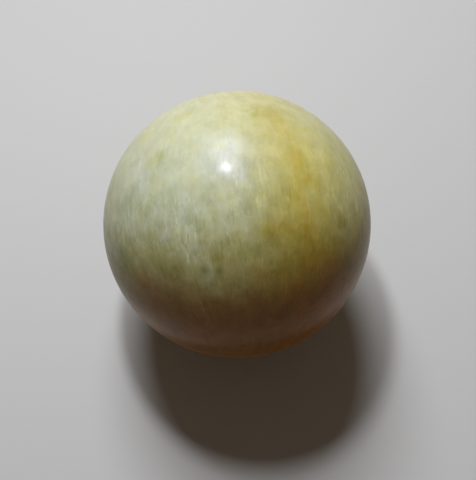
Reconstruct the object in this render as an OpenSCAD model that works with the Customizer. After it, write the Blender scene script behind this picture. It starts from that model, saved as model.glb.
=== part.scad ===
/* [Ball] */
// Diameter of the finished ball
ball_d = 80; // [60:1:100]

/* [Hidden] */
// Smoothness of the drawn mesh, in facets round the ball
$fn = 144;

// One solid piece of pale wood, turned and polished to a true sphere.
// It has no flat, bore or centre mark. The origin is at its centre, which is
// also the centre of any cup, ring or socket that holds it.
module ball() {
    color("#cdc596")
        sphere(d = ball_d);
}

ball();
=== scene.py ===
import math
from typing import NamedTuple

import bpy
import numpy as np
from mathutils import Euler, Matrix, Vector, noise


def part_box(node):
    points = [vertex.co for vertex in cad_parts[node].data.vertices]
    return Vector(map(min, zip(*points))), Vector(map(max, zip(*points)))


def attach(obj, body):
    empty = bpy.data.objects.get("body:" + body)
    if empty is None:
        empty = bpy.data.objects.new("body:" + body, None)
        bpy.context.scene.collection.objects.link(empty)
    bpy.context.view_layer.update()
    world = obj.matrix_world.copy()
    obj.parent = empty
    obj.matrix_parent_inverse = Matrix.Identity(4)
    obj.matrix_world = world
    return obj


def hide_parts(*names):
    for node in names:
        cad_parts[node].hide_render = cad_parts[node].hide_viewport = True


# A wooden ball, turned and polished by hand: its mesh and its wood, with the camera, floor and light.

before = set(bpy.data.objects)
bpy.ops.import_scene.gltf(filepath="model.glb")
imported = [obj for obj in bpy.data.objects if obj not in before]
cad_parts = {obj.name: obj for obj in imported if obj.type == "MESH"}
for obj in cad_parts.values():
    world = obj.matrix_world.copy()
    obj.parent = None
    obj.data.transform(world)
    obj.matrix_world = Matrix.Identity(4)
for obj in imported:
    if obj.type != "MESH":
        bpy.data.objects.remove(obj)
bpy.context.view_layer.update()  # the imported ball, as a fixed frame
ball_low, ball_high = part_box("ball")
CENTRE = (ball_low + ball_high) / 2
RADIUS = (ball_high - ball_low).z / 2
MM = 0.001
RADIUS_MM = RADIUS / MM

# The picture's size in pixels, and the middle and radius of the circle that the ball shows there.
PICTURE_W, PICTURE_H = 476, 480
BALL_PX, BALL_PY, BALL_PR = 237.0, 224.6, 134.0
CAMERA_ELEVATION = math.radians(67.5)
CAMERA_DISTANCE = 7.5 * RADIUS
NEAR_CLIP, FAR_CLIP = RADIUS / 100, RADIUS * 200
SENSOR = 36.0  # millimetres across the picture's long side


# ---------------------------------------------------------------- camera
def camera_axes():
    """The camera's right, up and back axes in the row frame."""
    s, c = math.sin(CAMERA_ELEVATION), math.cos(CAMERA_ELEVATION)
    return Vector((1, 0, 0)), Vector((0, s, c)), Vector((0, -c, s))


def focal_px():
    """The focal length in pixels that draws the ball at its radius."""
    return BALL_PR / math.tan(math.asin(RADIUS / CAMERA_DISTANCE))


def ray(px, py):
    """The direction in the row frame that a pixel looks along."""
    right, up, back = camera_axes()
    f = focal_px()
    return (right * ((px - PICTURE_W / 2) / f) - up * ((py - PICTURE_H / 2) / f) - back).normalized()


def eye():
    """Where the camera stands."""
    return CENTRE - ray(BALL_PX, BALL_PY) * CAMERA_DISTANCE


def on_ball(px, py):
    """The point of the ball that a pixel shows."""
    d = ray(px, py)
    to_ball = CENTRE - eye()
    along = d.dot(to_ball)
    distance = along - math.sqrt(max(0.0, RADIUS**2 - to_ball.length_squared + along**2))
    return eye() + d * distance


def make_camera():
    right, up, back = camera_axes()
    data = bpy.data.cameras.new("camera")
    data.sensor_width = SENSOR
    data.lens = focal_px() * SENSOR / max(PICTURE_W, PICTURE_H)
    data.clip_start, data.clip_end = NEAR_CLIP, FAR_CLIP
    camera = bpy.data.objects.new("camera", data)
    camera.matrix_world = Matrix.Translation(eye()) @ Matrix((right, up, back)).transposed().to_4x4()
    bpy.context.scene.collection.objects.link(camera)
    bpy.context.scene.camera = camera


# ---------------------------------------------------------------- node helpers
class Rise(NamedTuple):
    """A smooth change: low where a value is at start, and high where it is at stop."""

    start: float
    stop: float
    low: float = 0.0
    high: float = 1.0


class Pattern(NamedTuple):
    """A noise of the wood, taken in millimetres."""

    scale: float
    detail: float = 2.0
    roughness: float = 0.5
    along: float = 1.0  # how fast it changes along the fibres, where it is 1 across them
    shift: tuple = (0.0, 0.0, 0.0)  # so that two patterns don't follow each other


# The value that noise swings either side of.
NOISE_MIDDLE = 0.5


class Nodes:
    """Short calls that add nodes to one node tree and link them."""

    def __init__(self, owner):
        """An empty tree for that material or world."""
        owner.use_nodes = True
        self.tree = owner.node_tree
        self.tree.nodes.clear()

    def put(self, socket, value):
        """Link the value to the socket, or set it there if it is plain."""
        if isinstance(value, bpy.types.NodeSocket):
            self.tree.links.new(value, socket)
        else:
            socket.default_value = value

    def add(self, kind, **settings):
        node = self.tree.nodes.new(kind)
        for key, value in settings.items():
            setattr(node, key, value)
        return node

    def math(self, operation, a, b, clamp=False):
        node = self.add("ShaderNodeMath", operation=operation, use_clamp=clamp)
        self.put(node.inputs[0], a)
        self.put(node.inputs[1], b)
        return node.outputs[0]

    def mix(self, kind, share, a, b):
        """a where share is 0 and b where it is 1: colours for kind RGBA, numbers for FLOAT."""
        node = self.add("ShaderNodeMix", data_type=kind)
        self.put(node.inputs["Factor"], share)
        self.put(node.inputs["A"], a)
        self.put(node.inputs["B"], b)
        return node.outputs["Result"]

    def split(self, vector):
        node = self.add("ShaderNodeSeparateXYZ")
        self.put(node.inputs[0], vector)
        return node.outputs

    def join(self, x, y, z):
        node = self.add("ShaderNodeCombineXYZ")
        for socket, value in zip(node.inputs, (x, y, z)):
            self.put(socket, value)
        return node.outputs[0]

    def vector(self, operation, *values):
        node = self.add("ShaderNodeVectorMath", operation=operation)
        for socket, value in zip(node.inputs, values):
            self.put(socket, value)
        return node.outputs["Value" if operation == "LENGTH" else "Vector"]

    def rise(self, value, rise):
        """How high the rise is at that value."""
        node = self.add("ShaderNodeMapRange", interpolation_type="SMOOTHSTEP")
        self.put(node.inputs["Value"], value)
        for key, number in zip(("From Min", "From Max", "To Min", "To Max"), rise):
            self.put(node.inputs[key], number)
        return node.outputs["Result"]

    def noise(self, place, pattern):
        """The pattern's noise at that place of the wood."""
        node = self.add("ShaderNodeTexNoise")
        stretch = (1.0, pattern.along, 1.0)
        self.put(node.inputs["Vector"], self.vector("MULTIPLY_ADD", place, stretch, pattern.shift))
        self.put(node.inputs["Scale"], pattern.scale)
        self.put(node.inputs["Detail"], pattern.detail)
        self.put(node.inputs["Roughness"], pattern.roughness)
        return node.outputs["Fac"]

    def sway(self, place, pattern):
        """Noise that swings either side of 0."""
        return self.math("SUBTRACT", self.noise(place, pattern), NOISE_MIDDLE)

    def tone(self, colour, amount, change):
        """colour with each channel multiplied by 1 + amount * change."""
        return self.vector("MULTIPLY", colour, self.vector("MULTIPLY_ADD", amount, change, (1, 1, 1)))

    def ramp(self, place, stops):
        """The colour at that place, from 0 to 1, of a smooth ramp through the stops."""
        node = self.add("ShaderNodeValToRGB")
        node.color_ramp.interpolation = "B_SPLINE"
        elements = node.color_ramp.elements
        while len(elements) < len(stops):
            elements.new(1.0)
        for element, (position, colour) in zip(elements, stops):
            element.position = position
            element.color = colour
        self.put(node.inputs["Fac"], place)
        return node.outputs["Color"]


def rgb(red, green, blue):
    """A colour as seen on screen, 0 to 255, to the linear values that nodes take."""
    def linear(c):
        c /= 255
        return c / 12.92 if c <= 0.04045 else ((c + 0.055) / 1.055) ** 2.4
    return (linear(red), linear(green), linear(blue), 1.0)


# ---------------------------------------------------------------- the wood's numbers
# Lengths are in millimetres, and places are millimetres from the ball's middle.
# A tone is how much red, green and blue change where a layer's strength is 1: -0.2 takes a fifth away.

# The fibres run along +Y, tilted up by the first angle and then turned about +Z by the last.
GRAIN = Euler((math.radians(16.0), 0.0, math.radians(6.0)))

# The growth rings are wide arcs round a pith line that runs along the fibres, well outside the ball.
PITH_ACROSS, PITH_UP = -110.0, 28.0

# Colours across the rings: the place, past the ball's middle, and the colour there as seen on screen.
RING_COLOURS = (
    (-40.0, (196, 201, 166)),
    (-20.0, (205, 209, 178)),
    (-6.0, (207, 210, 178)),
    (1.0, (206, 206, 166)),
    (5.0, (204, 202, 152)),
    (9.0, (204, 198, 136)),
    (14.0, (205, 192, 112)),
    (17.5, (203, 187, 94)),
    (21.0, (204, 194, 116)),
    (27.0, (203, 197, 130)),
    (40.0, (196, 193, 134)),
)

# The rings wander slowly, have patchy edges and lean over toward the pale end.
WANDER = Pattern(0.07, along=0.3)
WANDER_REACH = 8.0
PATCHES = Pattern(0.2, detail=3.0, roughness=0.6, along=0.7)
PATCH_REACH = 15.0
LEAN = Rise(11.0, 32.0, high=7.0)

# Along the fibres, the band fades toward one end of the ball, which is the pale end.
PALE_END = Rise(6.0, 34.0, high=0.6)
PALE_END_COLOUR = (209, 207, 168)

# The other end turns olive and then brown, partly the wood's own tone and partly painted shade, with an
# edge that sways, and pale tongues push it back.
EDGE_SWAY = Pattern(0.12, detail=3.0)
EDGE_REACH = 18.0
TONGUE_REACH = 8.0
OLIVE_END_AND_SHADE = Rise(3.0, -18.0)
OLIVE_END_AND_SHADE_TONE = (-0.21, -0.285, -0.60)
BROWN_END_AND_SHADE = Rise(-11.0, -30.0)
BROWN_END_AND_SHADE_TONE = (-0.10, -0.47, -0.57)

# How strong the layers are along the fibres: CALM for clouds and islands, and LIVELY for flecks and
# fibres. The pale end has the least of both.
CALM = Rise(24.0, -12.0, low=0.45)
LIVELY = Rise(22.0, -4.0, low=0.25, high=1.25)

# Mottling: clouds, finer flecks and yellower patches of tint.
CLOUDS = Pattern(0.16, roughness=0.55, along=0.7)
CLOUD_TONE = (0.52, 0.52, 0.68)
FLECKS = Pattern(0.36, roughness=0.6, along=0.7)
FLECK_TONE = (0.36, 0.36, 0.50)
PATTERN_SHIFT = (50.0, 0.0, 20.0)
TINT = Pattern(0.17, shift=PATTERN_SHIFT)
TINT_RISE = Rise(0.42, 0.80)
TINT_TONE = (0.0, -0.03, -0.24)

# Islands: darker patches with firm edges.
ISLANDS = Pattern(0.22, detail=3.0, roughness=0.6, along=0.7)
ISLAND_RISE = Rise(0.50, 0.57)
ISLAND_TONE = (-0.12, -0.11, -0.17)

# Fibres: streaks that follow the surface round the ball, and pores where their ends show. Both are
# stronger in patches, and the streaks have single pale and dark fibres among them.
STREAK_ALONG = 0.24
STREAKS = Pattern(0.95, detail=3.0, roughness=0.7)
PORES = Pattern(2.4, roughness=0.6, along=0.12)
FIBRE_TONE = (-0.38, -0.38, -0.55)
FIBRE_PATCHES = Pattern(0.1, along=0.7)
FIBRE_PATCH_RISE = Rise(0.42, 0.60, low=0.25)
PALE_FIBRES = Pattern(1.3, detail=1.0, along=0.7)
PALE_FIBRE_TONE = (0.17, 0.18, 0.26)
DARK_FIBRES = Pattern(1.1, detail=1.0, along=0.7, shift=PATTERN_SHIFT)
DARK_FIBRE_TONE = (-0.15, -0.14, -0.22)
SINGLE_FIBRE_RISE = Rise(0.62, 0.70)

# The fibres end where the surface is near the line along them through the ball's middle.
END_GRAIN = Rise(0.70, 0.36)  # in radii from that line

# Growth lines show as arcs where the fibres end, and faintly along them.
GROWTH_LINES = Pattern(0.42, roughness=0.6)
GROWTH_TONE = (-0.60, -0.65, -1.0)
GROWTH_SWAY = Pattern(0.09)
GROWTH_SWAY_REACH = 6.0
GROWTH_ALONG_FIBRES = 0.25

# The surface: wood under a thin clear coat, with a shallow relief of its fibres.
WOOD_ROUGHNESS = Rise(0.3, 0.7, low=0.34, high=0.44)
WOOD_SPECULAR = 0.12
COAT_WEIGHT = 0.19
COAT_ROUGHNESS = 0.17
RELIEF_STRENGTH = 0.5
RELIEF_DEPTH = 0.05


# ---------------------------------------------------------------- the wood's marks, and painted shade and sheen
class Mark:
    """A soft mark in the colour, of the wood itself or of painted shade or sheen: the pixel that shows
    its middle, how far it reaches along the fibres and across them, in millimetres, and how strong it
    is."""

    def __init__(self, pixel, along, across, strength):
        self.place = to_grain(on_ball(*pixel))
        self.along, self.across, self.strength = along, across, strength


def to_grain(point):
    """A point of the row frame in the wood's own millimetres: across, along the fibres, up."""
    return GRAIN.to_matrix().inverted() @ (point - CENTRE) / MM


# The dark dots have firmer edges than the other marks. They are also shallow dents, with these radii.
DOT_TONE = (-0.36, -0.34, -0.50)
DOT_MARKS = {
    "left_twin": Mark((205, 271), 2.4, 1.6, 1.0),
    "right_twin": Mark((219, 272), 2.4, 1.6, 1.0),
    "dark_eye": Mark((271, 237), 3.8, 2.2, 0.75),
}
DENT_RADII = {"left_twin": 1.26, "right_twin": 1.26, "dark_eye": 1.8}

OLIVE_TONE = (-0.32, -0.30, -0.50)
OLIVE_MARKS = {
    "upper_left": Mark((161, 156), 4.5, 2.4, 0.85),
    "under_glint": Mark((214, 187), 3.2, 1.2, 0.35),
    # Painted shade at the left limb, partly olive wood too.
    "left_limb": Mark((128, 204), 6.0, 6.0, 0.5),
    "left_shade": Mark((142, 213), 4.0, 3.6, 0.6),
    "centre": Mark((200, 227), 2.2, 1.8, 0.5),
    "lower_left": Mark((173, 270), 3.8, 4.4, 0.75),
    "right_limb": Mark((343, 222), 2.4, 3.0, 0.5),
    "top": Mark((256, 113), 4.5, 3.0, 0.3),
    # Painted shade at the lower left limb, partly olive wood too.
    "lower_left_limb": Mark((123, 258), 6.0, 6.0, 0.75),
    "low_middle": Mark((243, 256), 4.5, 3.5, 0.45),
    "top_right": Mark((271, 114), 6.5, 7.5, 0.45),
    "middle_shade": Mark((245, 222), 5.0, 4.5, 0.4),
    "left_middle_shade": Mark((210, 222), 9.0, 7.0, 0.35),
    "left_streak": Mark((171, 198), 4.5, 3.0, 0.4),
    "inner_shade": Mark((278, 213), 5.0, 5.0, 0.45),
    "band_shade": Mark((312, 230), 4.5, 3.0, 0.35),
    "dark_line": Mark((274, 272), 5.0, 0.5, 0.5),
}

AMBER_TONE = (0.0, -0.13, -0.42)
AMBER_MARKS = {
    "upper_band": Mark((286, 133), 3.0, 3.0, 0.35),
    "red_streak": Mark((299, 160), 5.0, 2.6, 0.5),
    "amber_spot": Mark((308, 179), 2.4, 2.0, 0.8),
    "low_amber_spot": Mark((306, 211), 3.0, 1.8, 0.8),
    "lower_band": Mark((311, 234), 7.0, 3.0, 0.8),
    "inner_patch": Mark((278, 230), 5.0, 6.0, 0.7),
    "band_end": Mark((315, 260), 4.0, 4.0, 0.6),
    "lower_right": Mark((332, 258), 7.0, 6.0, 0.7),
    "top_patch": Mark((272, 114), 6.0, 7.0, 0.6),
    "top_right_edge": Mark((298, 106), 7.0, 7.0, 0.45),
    "right_of_lower_band": Mark((336, 230), 5.0, 4.5, 0.5),
}

CREAM_TONE = (0.14, 0.15, 0.36)
CREAM_MARKS = {
    "right_blob": Mark((319, 156), 3.0, 4.4, 1.0),
    "lower_streak": Mark((275, 254), 3.6, 1.2, 0.7),
    "left_limb_patch": Mark((125, 212), 3.0, 4.5, 0.45),
    "left_patch": Mark((186, 241), 4.5, 5.0, 0.4),
    "left_low_patch": Mark((172, 237), 4.0, 4.0, 0.4),
    "middle_left": Mark((190, 212), 6.0, 4.0, 0.4),
    "middle": Mark((268, 184), 5.0, 6.0, 0.5),
    "right_of_band": Mark((353, 184), 9.0, 7.0, 0.9),
    "right_limb_patch": Mark((343, 165), 7.0, 4.0, 0.35),
    "centre_fibre": Mark((212, 232), 6.0, 0.7, 0.5),
    "top_left_patch": Mark((180, 125), 5.0, 3.0, 0.3),
    "lower_left_tongue": Mark((194, 266), 6.5, 4.0, 0.35),
}

# Painted sheen: a bluer tone beside the glint, where the highlight's haze falls, and at the upper left
# limb.
PAINTED_SHEEN_TONE = (0.0, 0.01, 0.30)
PAINTED_SHEEN_MARKS = {
    "left_of_glint": Mark((214, 154), 9.0, 9.0, 0.5),
    "right_of_glint": Mark((241, 160), 9.0, 7.0, 0.9),
    "upper_left_limb": Mark((138, 172), 10.0, 9.0, 0.5),
}

# Painted shade: red-brown darkening at the lower limbs, where the ball turns away from the light.
PAINTED_SHADE_TONE = (-0.04, -0.24, -0.16)
PAINTED_SHADE_MARKS = {
    "lower_right_limb": Mark((342, 278), 10.0, 13.0, 1.0),
    "low_left": Mark((158, 292), 8.0, 10.0, 0.9),
}

# Where the pale wood reaches into the olive end.
PALE_TONGUES = {
    "under_twins": Mark((206, 271), 9.0, 5.5, 1.0),
    "left_of_middle": Mark((171, 236), 6.0, 5.0, 0.8),
}

# A mark fades out at MARK_EDGE times its reach, and RAGGED makes that edge uneven.
MARK_EDGE = 1.3
RAGGED = Pattern(0.45, detail=3.0, roughness=0.6, along=0.5)
RAGGED_REACH = 1.6
DOT_RAGGEDNESS = 0.4


# ---------------------------------------------------------------- wood
class Wood:
    """What the wood's layers share, as node outputs: where a point lies, and what follows from it."""

    def __init__(self, n):
        mapping = n.add("ShaderNodeMapping", vector_type="TEXTURE")
        n.put(mapping.inputs["Vector"], n.add("ShaderNodeTexCoord").outputs["Object"])
        n.put(mapping.inputs["Rotation"], GRAIN)
        n.put(mapping.inputs["Scale"], (MM, MM, MM))
        self.place = mapping.outputs["Vector"]  # X across, Y along the fibres, Z up
        self.along = n.split(self.place)[1]
        self.radial = n.vector("MULTIPLY", self.place, (1, 0, 1))
        self.girth = n.vector("LENGTH", self.radial)
        pith = (PITH_ACROSS, 0.0, PITH_UP)
        self.from_pith = n.vector("LENGTH", n.vector("SUBTRACT", self.radial, pith))
        self.ragged = n.math("MULTIPLY", n.sway(self.place, RAGGED), RAGGED_REACH)
        self.calm = n.rise(self.along, CALM)
        self.lively = n.rise(self.along, LIVELY)
        self.end_grain = n.rise(n.math("DIVIDE", self.girth, RADIUS_MM), END_GRAIN)


def marks(n, wood, ragged, group):
    """How strongly a group of marks shows: up to 1 in the middle of one, 0 between them."""
    total = 0.0
    for mark in group.values():
        offset = n.vector("SUBTRACT", wood.place, mark.place)
        shape = (1 / mark.across, 1 / mark.along, 1 / mark.across)
        reach = n.math("ADD", n.vector("LENGTH", n.vector("MULTIPLY", offset, shape)), ragged)
        total = n.math("ADD", total, n.rise(reach, Rise(MARK_EDGE, 0.0, high=mark.strength)))
    return n.math("MINIMUM", total, 1.0)


def ring_colour(n, wood):
    """The colour of the growth rings, by the distance from the pith line."""
    wander = n.math("MULTIPLY", n.sway(wood.place, WANDER), WANDER_REACH)
    patches = n.math("MULTIPLY", n.sway(wood.place, PATCHES), PATCH_REACH)
    ring = PITH_ACROSS
    for part in (wood.from_pith, wander, patches, n.rise(wood.along, LEAN)):
        ring = n.math("ADD", ring, part)
    first, last = RING_COLOURS[0][0], RING_COLOURS[-1][0]
    stops = [((place - first) / (last - first), rgb(*colour)) for place, colour in RING_COLOURS]
    return n.ramp(n.math("DIVIDE", n.math("SUBTRACT", ring, first), last - first), stops)


def end_colours(n, wood, colour):
    """The colour paler toward one end of the fibres, and olive and then brown toward the other, partly
    the wood's own tone and partly painted shade.
    """
    colour = n.mix("RGBA", n.rise(wood.along, PALE_END), colour, rgb(*PALE_END_COLOUR))
    edge = n.math("ADD", wood.along, n.math("MULTIPLY", n.sway(wood.place, EDGE_SWAY), EDGE_REACH))
    tongues = n.math("MULTIPLY", marks(n, wood, wood.ragged, PALE_TONGUES), TONGUE_REACH)
    edge = n.math("ADD", edge, tongues)
    colour = n.tone(colour, n.rise(edge, OLIVE_END_AND_SHADE), OLIVE_END_AND_SHADE_TONE)
    return n.tone(colour, n.rise(edge, BROWN_END_AND_SHADE), BROWN_END_AND_SHADE_TONE)


def mottling(n, wood, colour):
    """The colour with clouds, flecks, tint and islands."""
    colour = n.tone(colour, n.math("MULTIPLY", n.sway(wood.place, CLOUDS), wood.calm), CLOUD_TONE)
    colour = n.tone(colour, n.math("MULTIPLY", n.sway(wood.place, FLECKS), wood.lively), FLECK_TONE)
    colour = n.tone(colour, n.rise(n.noise(wood.place, TINT), TINT_RISE), TINT_TONE)
    islands = n.rise(n.noise(wood.place, ISLANDS), ISLAND_RISE)
    return n.tone(colour, n.math("MULTIPLY", islands, wood.calm), ISLAND_TONE)


def marked(n, wood, colour):
    """The colour with its marks, group by group: the wood's own marks, painted shade and painted sheen.
    """
    firm = n.math("MULTIPLY", wood.ragged, DOT_RAGGEDNESS)
    groups = (
        (OLIVE_MARKS, OLIVE_TONE, wood.ragged),
        (AMBER_MARKS, AMBER_TONE, wood.ragged),
        (CREAM_MARKS, CREAM_TONE, wood.ragged),
        (DOT_MARKS, DOT_TONE, firm),
        (PAINTED_SHEEN_MARKS, PAINTED_SHEEN_TONE, wood.ragged),
        (PAINTED_SHADE_MARKS, PAINTED_SHADE_TONE, wood.ragged),
    )
    for group, tone, ragged in groups:
        colour = n.tone(colour, marks(n, wood, ragged, group), tone)
    return colour


def fibres(n, wood, colour):
    """The colour with its fibres, and the fibres alone."""
    latitude = n.math("MULTIPLY", n.math("ARCTAN2", wood.along, wood.girth), RADIUS_MM)
    around = n.vector("MULTIPLY", n.vector("NORMALIZE", wood.radial), (RADIUS_MM,) * 3)
    streak_place = n.vector("ADD", around, n.join(0.0, n.math("MULTIPLY", latitude, STREAK_ALONG), 0.0))
    streaks = n.noise(streak_place, STREAKS)
    fibre = n.mix("FLOAT", wood.end_grain, streaks, n.noise(wood.place, PORES))
    strong = n.rise(n.noise(wood.place, FIBRE_PATCHES), FIBRE_PATCH_RISE)
    strong = n.math("MULTIPLY", strong, n.math("MAXIMUM", wood.lively, wood.end_grain))
    swing = n.math("SUBTRACT", fibre, NOISE_MIDDLE)
    colour = n.tone(colour, n.math("MULTIPLY", swing, strong), FIBRE_TONE)
    single = n.math("MULTIPLY", strong, n.math("SUBTRACT", 1.0, wood.end_grain))
    for pattern, tone in ((PALE_FIBRES, PALE_FIBRE_TONE), (DARK_FIBRES, DARK_FIBRE_TONE)):
        shown = n.rise(n.noise(streak_place, pattern), SINGLE_FIBRE_RISE)
        colour = n.tone(colour, n.math("MULTIPLY", shown, single), tone)
    return colour, fibre


def growth_lines(n, wood, colour):
    """The colour with growth lines, which follow the distance from the pith line."""
    sway = n.math("MULTIPLY", n.sway(wood.place, GROWTH_SWAY), GROWTH_SWAY_REACH)
    lines = n.sway(n.join(n.math("ADD", wood.from_pith, sway), 0.0, 0.0), GROWTH_LINES)
    strength = n.mix("FLOAT", wood.end_grain, GROWTH_ALONG_FIBRES, 1.0)
    return n.tone(colour, n.math("MULTIPLY", lines, strength), GROWTH_TONE)


def polished(n, colour, fibre):
    """A surface of that colour under a clear coat, with its roughness and relief from the fibres."""
    shader = n.add("ShaderNodeBsdfPrincipled")
    n.put(shader.inputs["Base Color"], colour)
    n.put(shader.inputs["Roughness"], n.rise(fibre, WOOD_ROUGHNESS))
    n.put(shader.inputs["Specular IOR Level"], WOOD_SPECULAR)
    n.put(shader.inputs["Coat Weight"], COAT_WEIGHT)
    n.put(shader.inputs["Coat Roughness"], COAT_ROUGHNESS)
    bump = n.add("ShaderNodeBump")
    n.put(bump.inputs["Strength"], RELIEF_STRENGTH)
    n.put(bump.inputs["Distance"], RELIEF_DEPTH * MM)
    n.put(bump.inputs["Height"], fibre)
    n.put(shader.inputs["Normal"], bump.outputs["Normal"])
    return shader.outputs["BSDF"]


def wood_material():
    material = bpy.data.materials.new("polished_wood")
    n = Nodes(material)
    wood = Wood(n)
    colour = ring_colour(n, wood)
    for layer in (end_colours, mottling, marked):
        colour = layer(n, wood, colour)
    colour, fibre = fibres(n, wood, colour)
    colour = growth_lines(n, wood, colour)
    n.put(n.add("ShaderNodeOutputMaterial").inputs["Surface"], polished(n, colour, fibre))
    return material


# ---------------------------------------------------------------- ball
SEGMENTS = 124  # along each edge of the cube that is rounded into the ball
WELD_DECIMALS = 7  # corners that are the same to this many decimals are joined

# How far the surface lies below the true sphere, in millimetres.
OUT_OF_ROUND = 0.12  # at most, where the hand-finished ball is lowest
TOOL_WAVES = 0.010  # on average, in faint waves of turning and sanding
DENT_DEPTH = 0.06  # under a dark dot
FLAT_DEPTH = 0.15  # in a faint flat toward the far left
FLAT_AT = Vector((-0.39, 0.85, 0.35)).normalized()
FLAT_REACH = 0.45  # radians from its middle
ROUNDNESS_SCALE = 1.3  # of the noise, to a radius
WAVE_SCALE = 0.25  # of the noise, to a millimetre
WAVE_ALONG = 0.4  # how fast the waves change along the fibres, where it is 1 across them


def cube_sphere(segments):
    """Corners of unit length and the quads between them, nearly evenly spread over a sphere."""
    steps = np.tan(np.linspace(-math.pi / 4, math.pi / 4, segments + 1))  # at equal angles
    a, b = np.meshgrid(steps, steps, indexing="ij")
    one = np.ones_like(a)
    sides = [(one, a, b), (-one, b, a), (b, one, a), (a, -one, b), (a, b, one), (b, a, -one)]
    points, quads = [], []
    index = np.arange((segments + 1) ** 2).reshape(segments + 1, segments + 1)
    for count, side in enumerate(sides):
        points.append(np.stack(side, -1).reshape(-1, 3))
        i = index + count * index.size
        quads.append(np.stack((i[:-1, :-1], i[1:, :-1], i[1:, 1:], i[:-1, 1:]), -1).reshape(-1, 4))
    points = np.concatenate(points)
    points /= np.linalg.norm(points, axis=1, keepdims=True)
    rounded = points.round(WELD_DECIMALS)
    _, first, shared = np.unique(rounded, axis=0, return_index=True, return_inverse=True)
    return points[first], shared.reshape(-1)[np.concatenate(quads)]


def depth(direction):
    """How far the surface lies below the true sphere in that direction, in millimetres."""
    grain = to_grain(CENTRE + direction * RADIUS)
    waves = Vector((grain.x, grain.y * WAVE_ALONG, grain.z)) * WAVE_SCALE
    total = OUT_OF_ROUND * (0.5 + 0.5 * noise.noise(direction * ROUNDNESS_SCALE))
    total += TOOL_WAVES * (1 + noise.noise(waves))
    total += FLAT_DEPTH * max(0.0, 1 - direction.angle(FLAT_AT) / FLAT_REACH) ** 2
    for name, dent_radius in DENT_RADII.items():
        reach = (grain - DOT_MARKS[name].place).length / dent_radius
        total += DENT_DEPTH * max(0.0, 1 - reach**2) ** 2
    return total


def make_ball():
    points, quads = cube_sphere(SEGMENTS)
    corners = [point * (RADIUS - depth(point) * MM) for point in map(Vector, points)]
    mesh = bpy.data.meshes.new("turned_ball")
    mesh.from_pydata(corners, [], quads.tolist())
    mesh.shade_smooth()
    mesh.materials.append(wood_material())
    piece = bpy.data.objects.new("turned_ball", mesh)
    piece.location = CENTRE
    bpy.context.scene.collection.objects.link(piece)
    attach(piece, "root")
    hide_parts("ball")


# ---------------------------------------------------------------- floor and light
# Linear colours, in pairs: what the floor and the world give the ball as light, and the pale grey
# that the camera and reflections see instead.
FLOOR_LIGHT, FLOOR_SEEN = (0.24, 0.13, 0.08, 1), (0.68, 0.67, 0.655, 1)
FAR_FLOOR_LIGHT, FAR_FLOOR_SEEN = (0.08, 0.040, 0.020, 1), (0.57, 0.565, 0.555, 1)
WORLD_LIGHT, WORLD_SEEN = (0.074, 0.060, 0.046, 1), (0.57, 0.57, 0.56, 1)

FLOOR_HALF = 60 * RADIUS  # half its side
FAR_FLOOR = Rise(2.2 * RADIUS, 9.0 * RADIUS)  # from the near floor to the far one

LAMP_COLOUR = (0.97, 1.0, 1.05)  # slightly cool


class Lamp(NamedTuple):
    """An oval lamp: the pixel of the ball where its glint shows, its distance from there
    and its sizes in metres, and its power in watts."""

    glint: tuple
    distance: float
    width: float
    height: float
    power: float


LAMPS = {
    "key": Lamp(glint=(226, 167), distance=0.32, width=0.038, height=0.047, power=0.47),
    "soft": Lamp(glint=(226, 150), distance=0.9, width=0.42, height=0.42, power=5.5),
}


def pale_to_eye(n, light, seen):
    """light where light falls, and seen where the camera or a reflection looks."""
    path = n.add("ShaderNodeLightPath").outputs
    mirror = n.math("ADD", path["Is Glossy Ray"], path["Is Transmission Ray"])
    looks = n.math("ADD", path["Is Camera Ray"], mirror, clamp=True)
    return n.mix("RGBA", looks, light, seen)


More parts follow.
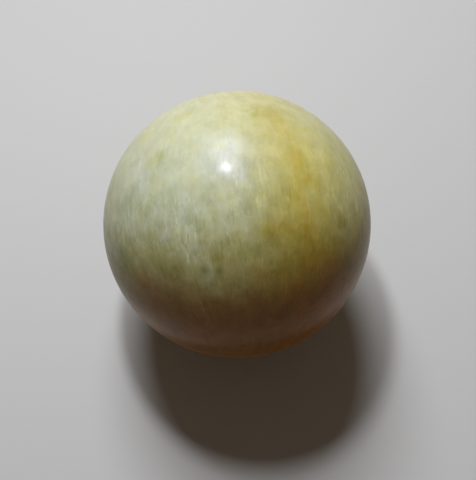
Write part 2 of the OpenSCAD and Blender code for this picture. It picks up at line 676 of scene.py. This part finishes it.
def floor_material():
    """Pale and lit near the ball, where it keeps the shadow, and evenly pale further off."""
    material = bpy.data.materials.new("pale_floor")
    n = Nodes(material)
    place = n.add("ShaderNodeNewGeometry").outputs["Position"]
    near = n.add("ShaderNodeBsdfDiffuse")
    n.put(near.inputs["Color"], pale_to_eye(n, FLOOR_LIGHT, FLOOR_SEEN))
    far = n.add("ShaderNodeEmission")
    n.put(far.inputs["Color"], pale_to_eye(n, FAR_FLOOR_LIGHT, FAR_FLOOR_SEEN))
    both = n.add("ShaderNodeMixShader")
    n.put(both.inputs[0], n.rise(n.vector("LENGTH", place), FAR_FLOOR))
    n.put(both.inputs[1], near.outputs["BSDF"])
    n.put(both.inputs[2], far.outputs["Emission"])
    n.put(n.add("ShaderNodeOutputMaterial").inputs["Surface"], both.outputs["Shader"])
    return material


def make_floor():
    low = CENTRE.z - RADIUS
    sides = ((-1, -1), (1, -1), (1, 1), (-1, 1))
    corners = [(x * FLOOR_HALF, y * FLOOR_HALF, low) for x, y in sides]
    mesh = bpy.data.meshes.new("floor")
    mesh.from_pydata(corners, [], [(0, 1, 2, 3)])
    mesh.materials.append(floor_material())
    floor = bpy.data.objects.new("floor", mesh)
    bpy.context.scene.collection.objects.link(floor)


def make_lamp(name, lamp):
    """The lamp, placed so that its glint shows at its pixel."""
    point = on_ball(*lamp.glint)
    normal = (point - CENTRE).normalized()
    view = (eye() - point).normalized()
    toward = 2 * normal.dot(view) * normal - view
    data = bpy.data.lights.new(name, "AREA")
    data.shape = "ELLIPSE"
    data.size = lamp.width
    data.size_y = lamp.height
    data.energy = lamp.power
    data.color = LAMP_COLOUR
    made = bpy.data.objects.new(name, data)
    made.location = point + toward * lamp.distance
    made.rotation_euler = toward.to_track_quat("Z", "Y").to_euler()
    bpy.context.scene.collection.objects.link(made)


def make_world():
    world = bpy.data.worlds.new("world")
    n = Nodes(world)
    shader = n.add("ShaderNodeBackground")
    n.put(shader.inputs["Color"], pale_to_eye(n, WORLD_LIGHT, WORLD_SEEN))
    n.put(n.add("ShaderNodeOutputWorld").inputs["Surface"], shader.outputs["Background"])
    bpy.context.scene.world = world


make_camera()
make_ball()
make_floor()
make_world()
for name, lamp in LAMPS.items():
    make_lamp(name, lamp)
bpy.context.scene.view_settings.view_transform = "Standard"
